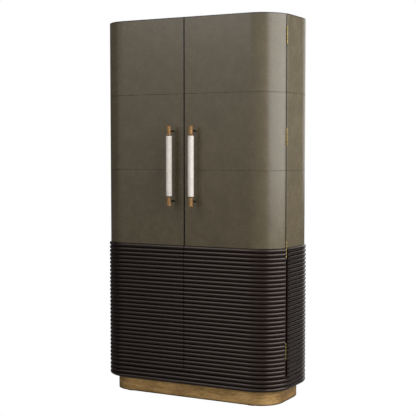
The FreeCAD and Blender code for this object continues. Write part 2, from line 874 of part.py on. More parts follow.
def write_parts():
    """Check every object and write each sub-part to its own file."""
    doc.recompute()
    failed = [item.Label for item in doc.Objects if {"Invalid", "Error"} & set(item.State)]
    for item in subparts:
        shape = item.Shape
        if shape.isNull() or not shape.isValid() or not shape.Solids:
            failed.append(item.Label)
    if failed:
        raise SystemExit("failed: " + ", ".join(failed))
    os.makedirs("parts", exist_ok=True)
    for item in subparts:
        item.Shape.exportStep(f"parts/{item.Label}.step")
    print(len(subparts), "sub-parts written")


fill_sheets()
make_plinth()
make_shell()
make_doors()
make_ribs()
make_handles()
make_hinges()
make_catches()
make_lower_bay()
make_upper_bay()
write_parts()
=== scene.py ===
"""Bar armoire: leather, ribs, pulls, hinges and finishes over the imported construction."""

import json
import math
from functools import cache

import bpy
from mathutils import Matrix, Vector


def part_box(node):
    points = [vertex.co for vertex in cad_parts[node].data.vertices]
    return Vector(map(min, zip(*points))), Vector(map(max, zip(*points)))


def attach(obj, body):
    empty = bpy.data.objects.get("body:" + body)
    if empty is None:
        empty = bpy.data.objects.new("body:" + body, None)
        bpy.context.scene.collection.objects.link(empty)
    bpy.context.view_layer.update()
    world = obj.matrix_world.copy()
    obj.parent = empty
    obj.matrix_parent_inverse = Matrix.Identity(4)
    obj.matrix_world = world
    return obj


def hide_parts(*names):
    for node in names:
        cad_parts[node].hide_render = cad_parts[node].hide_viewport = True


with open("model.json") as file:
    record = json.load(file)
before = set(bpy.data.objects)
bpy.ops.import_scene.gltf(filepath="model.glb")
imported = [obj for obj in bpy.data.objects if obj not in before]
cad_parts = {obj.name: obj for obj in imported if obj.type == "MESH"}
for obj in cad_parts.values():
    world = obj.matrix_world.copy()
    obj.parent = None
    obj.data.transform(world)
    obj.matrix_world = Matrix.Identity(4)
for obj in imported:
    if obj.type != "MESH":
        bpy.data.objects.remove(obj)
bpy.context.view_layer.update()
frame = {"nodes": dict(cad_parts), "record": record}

bl_info = {
    "name": "Bar Armoire",
    "version": (1, 0, 0),
    "blender": (4, 5, 0),
    "location": "3D View > Sidebar > Armoire",
    "description": "Dresses the bar armoire's construction with its leather, ribs, brass and wood",
    "category": "Object",
}

door_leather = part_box("right_door_leather_lower")
side_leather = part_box("right_side_leather_lower")

# Steps round the front corner on a door, a fixed side and the base rail, and round the rear corner.
DOOR_STEPS, SIDE_STEPS, RAIL_STEPS, REAR_STEPS = 24, 12, 36, 16
# Sides of the full circle that a rib's half-round is cut from.
RIB_SIDES = 28
# Edges sharper than this many degrees are rounded, or stay sharp when a piece is shaded smooth.
SHARP = 40
# Points nearer than this to a plane lie on it.
TOUCH = 1e-6
# Turns that stand a flat outline up, square to x or to y.
FACING = {"x": (0, math.pi / 2, 0), "y": (math.pi / 2, 0, 0)}


def length_property(name, description, default, **limits):
    """A size in metres."""
    return bpy.props.FloatProperty(
        name=name, description=description, default=default, unit="LENGTH", **limits)


def angle_property(name, description, degrees):
    """An angle, given in degrees and held in radians."""
    return bpy.props.FloatProperty(
        name=name, description=description, default=math.radians(degrees), subtype="ANGLE", unit="ROTATION")


class ArmoireSizes(bpy.types.PropertyGroup):
    """Sizes of the dressed surfaces."""

    front_radius: length_property(
        "Front corner radius", "Radius of the leather round the front corners", 0.1694, min=0.05)
    rear_radius: length_property(
        "Rear corner radius", "Radius of the leather round the rear corners", 0.242, min=0.02)
    gap_angle: angle_property("Door wrap", "How far each door turns round its front corner", 76.5)
    rear_angle: angle_property("Rear turn", "How far the fixed side turns round the rear corner", 45)
    leather_thickness: length_property("Leather thickness", "Leather with its backing", 0.003)
    leather_roll: length_property(
        "Leather edge roll", "Rounding where the leather turns over its edges", 0.0012)
    rib_pitch: length_property("Rib pitch", "Height from one rib to the next", 0.02296)
    rib_rise: length_property("Rib rise", "How far the ribs stand proud of the leather", 0.0088)
    door_rib_count: bpy.props.IntProperty(
        name="Door ribs", description="Ribs on each door", default=31, min=1)
    rail_rib_count: bpy.props.IntProperty(
        name="Rail ribs", description="Ribs on the base rail", default=3, min=1)
    grip_radius: length_property("Grip radius", "Radius of the pale grip", 0.0162)
    end_radius: length_property("Pull end radius", "Radius of the brass ends", 0.0123)
    barrel_radius: length_property("Hinge barrel radius", "Radius of the hinge knuckles", 0.003)


def sizes():
    """The sizes held by the scene."""
    return bpy.context.scene.armoire_sizes


def corner_axis():
    """Axis of the right front corner."""
    radius = sizes().front_radius
    return (side_leather[1].x - radius, door_leather[0].y + radius, 0)


def rear_axis():
    """Axis of the right rear corner."""
    size = sizes()
    depth = size.rear_radius * math.sin(size.rear_angle)
    return (side_leather[1].x - size.rear_radius, side_leather[1].y - depth, 0)


def centre(box):
    """The middle of a box."""
    return tuple((low + high) / 2 for low, high in zip(*box))


def object_mode():
    """Leave edit mode and clear the selection."""
    if bpy.context.mode != "OBJECT":
        bpy.ops.object.mode_set(mode="OBJECT")
    bpy.ops.object.select_all(action="DESELECT")


def take(piece):
    """Select one piece alone and make it the active one."""
    object_mode()
    piece.select_set(True)
    bpy.context.view_layer.objects.active = piece


def edit_all(piece):
    """Enter edit mode on a piece with everything selected."""
    take(piece)
    bpy.ops.object.mode_set(mode="EDIT")
    bpy.ops.mesh.select_mode(type="VERT")
    bpy.ops.mesh.select_all(action="SELECT")


def choose(piece, kind, test):
    """Edit a piece with those of its vertices or polygons selected that pass a test."""
    take(piece)
    bpy.ops.object.mode_set(mode="EDIT")
    bpy.ops.mesh.select_mode(type="FACE" if kind == "polygons" else "VERT")
    bpy.ops.mesh.select_all(action="DESELECT")
    bpy.ops.object.mode_set(mode="OBJECT")
    found = [item for item in getattr(piece.data, kind) if test(item)]
    if not found:
        raise RuntimeError(f"nothing of {piece.name} passes the test")
    for item in found:
        item.select = True
    bpy.ops.object.mode_set(mode="EDIT")


def settle(name):
    """Name the active piece and put its place into its mesh."""
    piece = bpy.context.active_object
    piece.name = name
    piece.data.name = name
    bpy.ops.object.transform_apply(location=True, rotation=True, scale=True)
    return piece


def outline(name, section, across, place):
    """A rectangle of edges, (depth, height) in size, square to the axis across and centred at place."""
    object_mode()
    bpy.ops.mesh.primitive_plane_add(size=1, location=place, rotation=FACING[across])
    piece = bpy.context.active_object
    depth, height = section
    piece.scale = (height, depth, 1) if across == "x" else (depth, height, 1)
    settle(name)
    edit_all(piece)
    bpy.ops.mesh.delete(type="ONLY_FACE")
    bpy.ops.object.mode_set(mode="OBJECT")
    return piece


def half_round(name, width, rise, across, place):
    """A half-round outline of edges whose flat lies at place and whose round faces outwards."""
    object_mode()
    bpy.ops.mesh.primitive_circle_add(
        vertices=RIB_SIDES, radius=1, location=place, rotation=FACING[across])
    piece = bpy.context.active_object
    piece.scale = (width / 2, rise, 1) if across == "x" else (rise, width / 2, 1)
    settle(name)
    edit_all(piece)
    flat, outwards = (1, (0, -1, 0)) if across == "x" else (0, (1, 0, 0))
    bpy.ops.mesh.bisect(plane_co=place, plane_no=outwards, clear_inner=True)
    choose(piece, "vertices", lambda v: abs(v.co[flat] - place[flat]) < TOUCH)
    bpy.ops.mesh.edge_face_add()
    bpy.ops.object.mode_set(mode="OBJECT")
    return piece


def carry(*steps):
    """Carry the selected outline along runs (x, y) and turns (angle, upright axis, count)."""
    for kind, *step in steps:
        if kind == "run":
            bpy.ops.mesh.extrude_edges_move(TRANSFORM_OT_translate={"value": (*step, 0)})
        else:
            angle, axis, count = step
            bpy.ops.mesh.spin(steps=count, angle=-angle, center=axis, axis=(0, 0, 1))


def close(piece):
    """Merge the doubles, fill both ends and turn the faces outwards."""
    edit_all(piece)
    bpy.ops.mesh.remove_doubles(threshold=TOUCH)
    bpy.ops.mesh.fill_holes(sides=0)
    bpy.ops.mesh.select_all(action="SELECT")
    bpy.ops.mesh.normals_make_consistent(inside=False)
    bpy.ops.object.mode_set(mode="OBJECT")


def apply(piece, kind, **values):
    """Add a modifier with its values and apply it."""
    modifier = piece.modifiers.new(kind.title(), kind)
    for key, value in values.items():
        setattr(modifier, key, value)
    bpy.context.view_layer.objects.active = piece
    bpy.ops.object.modifier_apply(modifier=modifier.name)


def close_both_hands(piece):
    """Add the left hand of a piece carried from the middle to the right, and close it."""
    bpy.ops.object.mode_set(mode="OBJECT")
    apply(piece, "MIRROR", merge_threshold=1e-5)
    close(piece)


def ease(piece, width, segments=3, limit=SHARP):
    """Round every sharp edge of a piece."""
    apply(piece, "BEVEL", width=width, segments=segments, limit_method="ANGLE",
          angle_limit=math.radians(limit), harden_normals=False)


def smooth(piece):
    """Shade a piece smooth between its sharp edges."""
    take(piece)
    bpy.ops.object.shade_smooth_by_angle(angle=math.radians(SHARP))


def crisp(piece):
    """Shade a piece smooth and keep its broad faces true up to their rounded edges."""
    smooth(piece)
    apply(piece, "WEIGHTED_NORMAL", keep_sharp=True, weight=100)


def stack(piece, count, rise):
    """Repeat a piece upwards."""
    apply(piece, "ARRAY", count=count, use_relative_offset=False,
          use_constant_offset=True, constant_offset_displace=(0, 0, rise))


def duplicate(piece):
    """A copy of a piece, alone selected and active."""
    take(piece)
    bpy.ops.object.duplicate()
    return bpy.context.active_object


def raised(piece, rise):
    """A copy of a piece further up."""
    duplicate(piece).location.z = rise
    return settle(piece.name + "_raised")


def mirrored(piece, name, axis=0, plane=0):
    """A copy of a piece mirrored in a plane square to an axis."""
    copy = duplicate(piece)
    copy.scale[axis] = -1
    copy.location[axis] = 2 * plane
    settle(name)
    edit_all(copy)
    bpy.ops.mesh.normals_make_consistent(inside=False)
    bpy.ops.object.mode_set(mode="OBJECT")
    return copy


def fit(piece, body, slot, *nodes):
    """Give a finished piece its body, its finish and the nodes it stands for."""
    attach(piece, body)
    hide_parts(*nodes)
    piece.data.materials.clear()
    piece.data.materials.append(FINISHES[slot]())


def fit_pair(piece, body, slot, node, shade):
    """Fit and shade a right-hand piece and its left-hand copy; the names given are the right hand's."""
    copy = mirrored(piece, piece.name.replace("right", "left"))
    for item, hand in ((piece, "right"), (copy, "left")):
        fit(item, body.replace("right", hand), slot, node.replace("right", hand))
        shade(item)


def new_group(name, inputs, outputs):
    """An empty shader node group with float inputs (name, default) and float outputs."""
    group = bpy.data.node_groups.new(name, "ShaderNodeTree")
    for label, default in inputs:
        socket = group.interface.new_socket(label, in_out="INPUT", socket_type="NodeSocketFloat")
        socket.default_value = default
    for label in outputs:
        group.interface.new_socket(label, in_out="OUTPUT", socket_type="NodeSocketFloat")
    return group, group.nodes.new("NodeGroupInput").outputs, group.nodes.new("NodeGroupOutput").inputs


def add(tree, kind, **values):
    """Add a node; values set its properties, or its inputs where the name is an input's."""
    node = tree.nodes.new(kind)
    for key, value in values.items():
        label = key.replace("_", " ").title()
        if hasattr(node, key):
            setattr(node, key, value)
        elif label in node.inputs:
            node.inputs[label].default_value = value
        else:
            raise RuntimeError(f"{kind} has no {key}")
    return node


def feed(tree, value, socket):
    """Link a socket to an input, or set the input to a plain value."""
    if isinstance(value, bpy.types.NodeSocket):
        tree.links.new(value, socket)
    else:
        socket.default_value = value


def math_node(tree, operation, first, second=0):
    """A math node on two values, each a socket or a number."""
    node = add(tree, "ShaderNodeMath", operation=operation)
    feed(tree, first, node.inputs[0])
    feed(tree, second, node.inputs[1])
    return node.outputs[0]


def blend(tree, share, first, second, blend_type="MIX"):
    """Mix two colours by a share, each a socket or a plain value."""
    node = add(tree, "ShaderNodeMix", data_type="RGBA", blend_type=blend_type)
    for index, value in ((0, share), (6, first), (7, second)):
        feed(tree, value, node.inputs[index])
    return node.outputs[2]


def ramp(tree, value, stops):
    """A colour ramp over a value; stops are (position, grey or colour)."""
    node = tree.nodes.new("ShaderNodeValToRGB")
    band = node.color_ramp
    for _ in stops[2:]:
        band.elements.new(0.5)
    for element, (position, colour) in zip(band.elements, stops):
        element.position = position
        shade = colour if isinstance(colour, tuple) else (colour, colour, colour)
        element.color = (*shade, 1)
    tree.links.new(value, node.inputs[0])
    return node.outputs[0]


def object_place(tree):
    """Object coordinates."""
    return tree.nodes.new("ShaderNodeTexCoord").outputs["Object"]


def stretched(tree, *scales):
    """Object coordinates times a scale along each axis, each a socket or a number."""
    axes = tree.nodes.new("ShaderNodeCombineXYZ")
    for scale, socket in zip(scales, axes.inputs):
        feed(tree, scale, socket)
    scaled = add(tree, "ShaderNodeVectorMath", operation="MULTIPLY")
    tree.links.new(object_place(tree), scaled.inputs[0])
    tree.links.new(axes.outputs[0], scaled.inputs[1])
    return scaled.outputs[0]


def object_axes(tree):
    """Object coordinates as three values."""
    node = tree.nodes.new("ShaderNodeSeparateXYZ")
    tree.links.new(object_place(tree), node.inputs[0])
    return node.outputs[:]


def noise(tree, place, scale, **values):
    """The outputs of a noise over a place; its scale is a socket or a number."""
    node = add(tree, "ShaderNodeTexNoise", **values)
    tree.links.new(place, node.inputs["Vector"])
    feed(tree, scale, node.inputs["Scale"])
    return node.outputs


@cache
def mottle_group():
    """Cloudy variation at two sizes, as dye or patina takes unevenly."""
    inputs = [("Cloud Scale", 3), ("Fleck Scale", 60), ("Fleck Share", 0.3), ("Flatten", 1)]
    group, given, out = new_group("Mottle", inputs, ["Mask"])
    place = stretched(group, 1, 1, given["Flatten"])
    clouds = noise(group, place, given["Cloud Scale"], detail=4, roughness=0.62)["Fac"]
    flecks = noise(group, place, given["Fleck Scale"], detail=6, roughness=0.62)["Fac"]
    mix = add(group, "ShaderNodeMix", data_type="FLOAT")
    for index, value in ((0, given["Fleck Share"]), (2, clouds), (3, flecks)):
        group.links.new(value, mix.inputs[index])
    group.links.new(mix.outputs[0], out["Mask"])
    return group


@cache
def hide_group():
    """Pebbled skin: small cells with creases between them, broken up by noise."""
    group, given, out = new_group("Hide Grain", [("Cell Scale", 420)], ["Height", "Crease"])
    place = object_place(group)
    bend = add(group, "ShaderNodeVectorMath", operation="MULTIPLY_ADD")
    group.links.new(noise(group, place, 90, detail=2)["Color"], bend.inputs[0])
    bend.inputs[1].default_value = (0.006, 0.006, 0.006)
    group.links.new(place, bend.inputs[2])
    cells = add(group, "ShaderNodeTexVoronoi", feature="DISTANCE_TO_EDGE")
    group.links.new(bend.outputs[0], cells.inputs["Vector"])
    group.links.new(given["Cell Scale"], cells.inputs["Scale"])
    crease = ramp(group, cells.outputs["Distance"], [(0.0, 0.0), (0.16, 1.0)])
    fine = noise(group, place, 900, detail=2)["Fac"]
    group.links.new(math_node(group, "MULTIPLY", crease, fine), out["Height"])
    group.links.new(crease, out["Crease"])
    return group


@cache
def wood_group():
    """Straight wood grain along one axis, with pores."""
    inputs = [("Along X", 1), ("Along Y", 1), ("Along Z", 0.04), ("Scale", 60)]
    group, given, out = new_group("Wood Grain", inputs, ["Figure", "Pores"])
    place = stretched(group, *(given[label] for label in ("Along X", "Along Y", "Along Z")))
    figure = noise(group, place, given["Scale"], detail=5, roughness=0.6, distortion=0.6)
    pores = noise(group, place, math_node(group, "MULTIPLY", given["Scale"], 9), detail=2)
    group.links.new(figure["Fac"], out["Figure"])
    group.links.new(ramp(group, pores["Fac"], [(0.38, 0.0), (0.5, 1.0)]), out["Pores"])
    return group


def use(tree, group, **values):
    """The outputs of a node group placed in a material with its own values."""
    return add(tree, "ShaderNodeGroup", node_tree=group, **values).outputs


def finish(name, **values):
    """A new material and its shader; values set the shader's own sockets."""
    material = bpy.data.materials.new(name)
    material.use_nodes = True
    shader = material.node_tree.nodes["Principled BSDF"]
    for key, value in values.items():
        label = key.replace("_", " ").title().replace("Ior", "IOR")
        shader.inputs[label].default_value = value
    return material, material.node_tree, shader


def colours(tree, shader, mask, stops):
    """Colour a shader by a mask."""
    tree.links.new(ramp(tree, mask, stops), shader.inputs["Base Color"])


def dull(tree, shader, mask, low, high):
    """Vary a shader's roughness between two values over the usual spread of a mask."""
    spread = add(tree, "ShaderNodeMapRange", from_min=0.3, from_max=0.7, to_min=low, to_max=high)
    tree.links.new(mask, spread.inputs["Value"])
    tree.links.new(spread.outputs[0], shader.inputs["Roughness"])


def relief(tree, shader, height, strength, distance):
    """Raise a shader's surface by a height."""
    bump = add(tree, "ShaderNodeBump", strength=strength, distance=distance)
    tree.links.new(height, bump.inputs["Height"])
    tree.links.new(bump.outputs[0], shader.inputs["Normal"])


def edge_paint_and_shade(tree):
    """Dark edge paint and painted shade along the doors' gaps and the top edge, plain elsewhere, by the
    distance from the nearest.
    """
    turn = sizes().gap_angle
    axis = corner_axis()
    x, y, z = object_axes(tree)
    x = math_node(tree, "ABSOLUTE", x)
    wrap_x = math_node(tree, "MULTIPLY", math_node(tree, "SUBTRACT", x, axis[0]), math.cos(turn))
    wrap_y = math_node(tree, "MULTIPLY", math_node(tree, "SUBTRACT", y, axis[1]), math.sin(turn))
    wrap = math_node(tree, "ABSOLUTE", math_node(tree, "ADD", wrap_x, wrap_y))
    top = math_node(tree, "SUBTRACT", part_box("right_door_leather_upper")[1].z, z)
    nearest = math_node(tree, "MINIMUM", math_node(tree, "MINIMUM", x, wrap), top)
    centimetres = math_node(tree, "MULTIPLY", nearest, 100)
    # The dark band, 4 to 5 mm wide, is partly edge paint and partly painted shade of the gaps and of the
    # top edge.
    return ramp(tree, centimetres, [(0.4, 0.03), (0.5, 1.0)])


def leather():
    """Olive-taupe leather, fine pebbled grain, soft sheen, dark edge paint and painted shade at the gaps
    and the top edge.
    """
    material, tree, shader = finish("leather", specular_ior_level=0.5, ior=1.45)
    cloud = use(tree, mottle_group(), cloud_scale=13, fleck_scale=75, fleck_share=0.4)["Mask"]
    dye = ramp(tree, cloud, [
        (0.3, (0.096, 0.0765, 0.045)), (0.5, (0.115, 0.092, 0.055)), (0.7, (0.135, 0.109, 0.0668))])
    # The dye is darkened along the gaps and the top edge: edge paint together with painted shade.
    painted = blend(tree, 1, dye, edge_paint_and_shade(tree), "MULTIPLY")
    tree.links.new(painted, shader.inputs["Base Color"])
    relief(tree, shader, use(tree, hide_group(), cell_scale=520)["Height"], 0.18, 0.0004)
    dull(tree, shader, cloud, 0.24, 0.3)
    return material


def ebonised_wood():
    """Black-brown stained wood under a satin lacquer."""
    material, tree, shader = finish(
        "ebonised_wood", specular_ior_level=0.39, specular_tint=(1, 0.84, 0.77, 1))
    grain = use(tree, wood_group(), along_x=0.05, along_y=0.05, along_z=1, scale=160)
    colours(tree, shader, grain["Figure"], [
        (0.3, (0.0044, 0.0023, 0.0017)), (0.55, (0.01, 0.0055, 0.0041)), (0.75, (0.018, 0.0106, 0.008))])
    relief(tree, shader, grain["Pores"], 0.12, 0.0002)
    dull(tree, shader, grain["Figure"], 0.2, 0.28)
    return material


def metal(name, roughness, **patina):
    """Metal, duller and brighter in clouds; its colour is left to be set by the mask handed back."""
    material, tree, shader = finish(name, metallic=1.0)
    mask = use(tree, mottle_group(), fleck_share=0.35, **patina)["Mask"]
    dull(tree, shader, mask, roughness + 0.12, roughness)
    relief(tree, shader, mask, 0.05, 0.0006)
    return material, tree, shader, mask


def patinated(name, dark, middle, bright, roughness, clouds, flecks):
    """Metal with a cloudy patina."""
    material, tree, shader, mask = metal(name, roughness, cloud_scale=clouds, fleck_scale=flecks)
    colours(tree, shader, mask, [(0.32, dark), (0.5, middle), (0.66, bright)])
    return material


def antique_brass():
    """Brass sheet of the plinth: long streaks, with painted shade at the foot and under the cabinet."""
    material, tree, shader, mask = metal("antique_brass", 0.42, cloud_scale=5, fleck_scale=40, flatten=6)
    sheet = ramp(tree, mask, [
        (0.36, (0.29, 0.178, 0.073)), (0.5, (0.51, 0.318, 0.128)), (0.62, (0.72, 0.466, 0.197))])
    decimetres = math_node(tree, "MULTIPLY", object_axes(tree)[2], 10)
    # Painted shade: darker at the foot and under the cabinet, brightest a little below the middle.
    painted_shade = ramp(tree, decimetres, [
        (0.0, 0.1), (0.05, 0.16), (0.12, 0.9), (0.4, 1.0), (0.65, 0.88), (0.85, 0.6)])
    tree.links.new(blend(tree, 1, sheet, painted_shade, "MULTIPLY"), shader.inputs["Base Color"])
    return material


def handle_brass():
    """Darker aged brass of the pull ends."""
    return patinated(
        "handle_brass", (0.18, 0.103, 0.045), (0.3, 0.178, 0.079), (0.4, 0.245, 0.113), 0.6, 40, 260)


def hinge_brass():
    """Satin brass of the hinges, darkened as painted shade of the side gaps they sit in."""
    # These brass colours are darkened to paint the shade of the side gaps.
    return patinated(
        "hinge_brass", (0.14, 0.1, 0.03), (0.25, 0.195, 0.07), (0.38, 0.3, 0.12), 0.3, 60, 400)


def dark_metal():
    """Dark bronze posts; the same dark metal fills the pulls' necks as painted shade."""
    return patinated(
        "dark_metal", (0.01, 0.008, 0.006), (0.018, 0.014, 0.011), (0.03, 0.024, 0.018), 0.38, 90, 500)


def strike_steel():
    """Zinc-plated steel strike plates."""
    return patinated(
        "strike_steel", (0.42, 0.43, 0.44), (0.52, 0.53, 0.54), (0.6, 0.61, 0.62), 0.3, 120, 700)


def bone():
    """Off-white grip with a fine pebbled skin and pale clouding."""
    material, tree, shader = finish("bone", specular_ior_level=0.4)
    cloud = use(tree, mottle_group(), cloud_scale=26, fleck_scale=190, fleck_share=0.4)["Mask"]
    hide = use(tree, hide_group(), cell_scale=640)
    tint = ramp(tree, cloud, [
        (0.34, (0.83, 0.755, 0.66)), (0.5, (0.91, 0.85, 0.77)), (0.66, (0.95, 0.91, 0.85))])
    creased = ramp(tree, hide["Crease"], [(0.0, 0.14), (0.6, 0.0)])
    # Darker in the creases of the skin.
    crease_darkened = blend(tree, creased, tint, (0.5, 0.45, 0.38, 1))
    tree.links.new(crease_darkened, shader.inputs["Base Color"])
    relief(tree, shader, hide["Height"], 0.2, 0.0003)
    dull(tree, shader, cloud, 0.42, 0.55)
    return material


def mirror():
    """Bronze-smoked mirror."""
    material, tree, shader = finish("mirror", metallic=1.0)
    haze = use(tree, mottle_group(), cloud_scale=4, fleck_scale=90, fleck_share=0.2)["Mask"]
    colours(tree, shader, haze, [(0.3, (0.2, 0.175, 0.15)), (0.7, (0.25, 0.22, 0.19))])
    dull(tree, shader, haze, 0.02, 0.05)
    return material


def glass():
    """Clear shelf glass with faint wipe marks."""
    material, tree, shader = finish("glass", transmission_weight=1.0, ior=1.5)
    haze = use(tree, mottle_group(), cloud_scale=12, fleck_scale=160, fleck_share=0.3)["Mask"]
    colours(tree, shader, haze, [(0.3, (0.86, 0.94, 0.91)), (0.7, (0.9, 0.97, 0.94))])
    dull(tree, shader, haze, 0.01, 0.04)
    return material


def moulded(name, dark, light, roughness):
    """Moulded plastic with a fine spark texture."""
    material, tree, shader = finish(name)
    speck = use(tree, mottle_group(), cloud_scale=30, fleck_scale=900, fleck_share=0.6)["Mask"]
    colours(tree, shader, speck, [(0.35, dark), (0.65, light)])
    relief(tree, shader, speck, 0.15, 0.0002)
    dull(tree, shader, speck, roughness, roughness + 0.1)
    return material


def glide_plastic():
    """Black nylon floor glides."""
    return moulded("glide_plastic", (0.012, 0.012, 0.012), (0.022, 0.022, 0.022), 0.5)


def catch_plastic():
    """Brown plastic catch bodies."""
    return moulded("catch_plastic", (0.03, 0.018, 0.01), (0.05, 0.03, 0.018), 0.45)


def veneer(name, along, dark, middle, light):
    """Satin-lacquered veneer with its grain along one axis."""
    material, tree, shader = finish(name, specular_ior_level=0.45)
    lengths = {"along_" + axis: 0.05 if axis == along else 1.0 for axis in "xyz"}
    grain = use(tree, wood_group(), scale=45, **lengths)
    tint = ramp(tree, grain["Figure"], [(0.3, dark), (0.5, middle), (0.7, light)])
    pored = ramp(tree, grain["Pores"], [(0.0, 0.5), (1.0, 0.0)])
    pore_tint = (*(part * 0.45 for part in dark), 1)
    tree.links.new(blend(tree, pored, tint, pore_tint), shader.inputs["Base Color"])
    relief(tree, shader, grain["Pores"], 0.1, 0.0003)
    dull(tree, shader, grain["Figure"], 0.34, 0.44)
    return material


def interior_wood():
    """Walnut-brown veneer inside."""
    return veneer("interior_wood", "x", (0.045, 0.024, 0.012), (0.085, 0.047, 0.025), (0.13, 0.076, 0.042))


def shell_wood():
    """Dark stained veneer of the shell and the door backs."""
    return veneer("shell_wood", "z", (0.014, 0.009, 0.006), (0.026, 0.017, 0.011), (0.042, 0.028, 0.019))


# Each finish is built at its first use, and the same material is handed out after.
FINISHES = {make.__name__: cache(make) for make in (
    leather, ebonised_wood, antique_brass, handle_brass, hinge_brass, bone, dark_metal, strike_steel,
    mirror, glass, glide_plastic, catch_plastic, interior_wood, shell_wood)}


def wrap_corner(door, start, side, half_gap):
    """Carry the outlines of a door, from its start, and of a fixed side round the right hand to the gap."""
    size, axis, rear = sizes(), corner_axis(), rear_axis()
    edit_all(door)
    carry(("run", axis[0] - start, 0), ("turn", size.gap_angle - half_gap, axis, DOOR_STEPS))
    edit_all(side)
    carry(("run", 0, rear[1] - axis[1]), ("turn", size.rear_angle, rear, REAR_STEPS))
    choose(side, "vertices", lambda v: abs(v.co.y - axis[1]) < TOUCH)
    carry(("turn", size.gap_angle + half_gap - math.pi / 2, axis, SIDE_STEPS))
    close(door)
    close(side)


class ARMOIRE_OT_leather(bpy.types.Operator):
    """Leather rows on the doors and the fixed sides, each with rolled edges"""

    bl_idname = "armoire.leather"
    bl_label = "Leather rows"
    ROWS = ("lower", "middle", "upper")

    def execute(self, context):
        size = sizes()
        thick = size.leather_thickness
        half_gap = math.asin(door_leather[0].x / size.front_radius)
        for row in self.ROWS:
            low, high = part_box(f"right_door_leather_{row}")
            section = (thick, high.z - low.z)
            middle = (low.z + high.z) / 2
            door = outline(f"right_door_hide_{row}", section, "x", (low.x, low.y + thick / 2, middle))
            place = (side_leather[1].x - thick / 2, corner_axis()[1], middle)
            side = outline(f"right_side_hide_{row}", section, "y", place)
            wrap_corner(door, low.x, side, half_gap)
            for piece, part, body in ((door, "door", "right_door"), (side, "side", "carcass")):
                ease(piece, size.leather_roll)
                fit_pair(piece, body, "leather", f"right_{part}_leather_{row}", crisp)
        return {"FINISHED"}


class ARMOIRE_OT_ribs(bpy.types.Operator):
    """Half-round ribs on the doors, the fixed sides and the base rail"""

    bl_idname = "armoire.ribs"
    bl_label = "Half-round ribs"
    CLEARANCE = 0.0003
    HALF_GAP = 0.009

    def execute(self, context):
        size = sizes()
        axis, rear = corner_axis(), rear_axis()
        seat = size.leather_thickness
        section = (size.rib_pitch - self.CLEARANCE, size.rib_rise + seat)
        front_y = door_leather[0].y + seat
        side_x = side_leather[1].x - seat

        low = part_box("right_door_ribs")[0]
        first = low.z + size.rib_pitch / 2
        door = half_round("right_door_rounds", *section, "x", (low.x, front_y, first))
        side = half_round("right_side_rounds", *section, "y", (side_x, axis[1], first))
        wrap_corner(door, low.x, side, math.asin(self.HALF_GAP / size.front_radius))
        for piece, part, body in ((door, "door", "right_door"), (side, "side", "carcass")):
            stack(piece, size.door_rib_count, size.rib_pitch)
            fit_pair(piece, body, "ebonised_wood", f"right_{part}_ribs", smooth)

        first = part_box("base_rail_ribs")[0].z + size.rib_pitch / 2
        rail = half_round("base_rail_rounds", *section, "x", (0, front_y, first))
        edit_all(rail)
        carry(
            ("run", axis[0], 0), ("turn", math.pi / 2, axis, RAIL_STEPS),
            ("run", 0, rear[1] - axis[1]), ("turn", size.rear_angle, rear, REAR_STEPS))
        close_both_hands(rail)
        stack(rail, size.rail_rib_count, size.rib_pitch)
        fit(rail, "carcass", "ebonised_wood", "base_rail_ribs")
        smooth(rail)
        return {"FINISHED"}


def rod(name, radius, length, place, along="z", sides=48):
    """An upright or front-to-back rod, centred at place."""
    object_mode()
    turn = (0, 0, 0) if along == "z" else (math.pi / 2, 0, 0)
    bpy.ops.mesh.primitive_cylinder_add(
        vertices=sides, radius=radius, depth=length, location=place, rotation=turn)
    return settle(name)


def merge(first, *others):
    """Join pieces into the first."""
    object_mode()
    for piece in (first, *others):
        piece.select_set(True)
    bpy.context.view_layer.objects.active = first
    bpy.ops.object.join()
    return first


class ARMOIRE_OT_pulls(bpy.types.Operator):
    """Bar pulls: pale grip, necked brass ends, dark posts, and dark collars in the necks as painted shade
    """

    bl_idname = "armoire.pulls"
    bl_label = "Bar pulls"
    EDGE = 0.0012
    POST_EDGE = 0.0006
    NECK = 0.0046
    NECK_INSET = 0.0022
    # Radius of the dark collars that fill the necks as painted shade.
    SHADE_COLLAR_RADIUS = 0.0092

    def execute(self, context):
        size, neck = sizes(), self.NECK
        low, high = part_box("right_handle_grip")
        x, y, middle = centre((low, high))
        span = high.z - low.z
        grip = rod("right_pull_grip", size.grip_radius, span, (x, y, middle), sides=64)
        ease(grip, self.EDGE)

        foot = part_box("right_handle_ends")[0].z
        length = low.z - neck - foot
        ends = rod("right_pull_ends", size.end_radius, length, (x, y, foot + length / 2))
        ease(ends, self.EDGE)
        choose(ends, "polygons", lambda face: face.normal.z > 0.99 and len(face.vertices) > 8)
        bpy.ops.mesh.inset(thickness=self.NECK_INSET)
        bpy.ops.mesh.extrude_region_move(TRANSFORM_OT_translate={"value": (0, 0, neck)})
        merge(ends, mirrored(ends, "right_pull_upper_end", 2, middle))

        low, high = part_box("right_handle_posts")
        radius = (high.x - low.x) / 2
        place = (x, (low.y + high.y) / 2, low.z + radius)
        posts = rod("right_pull_posts", radius, high.y - low.y, place, along="y", sides=32)
        ease(posts, self.POST_EDGE)
        stack(posts, 2, high.z - low.z - 2 * radius)
        # A dark collar fills each neck between grip and brass end as painted shade of the groove.
        collar = rod("collar", self.SHADE_COLLAR_RADIUS, neck, (x, y, middle - span / 2 - neck / 2))
        stack(collar, 2, span + neck)
        merge(posts, collar)

        made = ((grip, "grip", "bone"), (ends, "ends", "handle_brass"), (posts, "posts", "dark_metal"))
        for piece, part, slot in made:
            fit_pair(piece, "right_door", slot, f"right_handle_{part}", crisp)
        return {"FINISHED"}


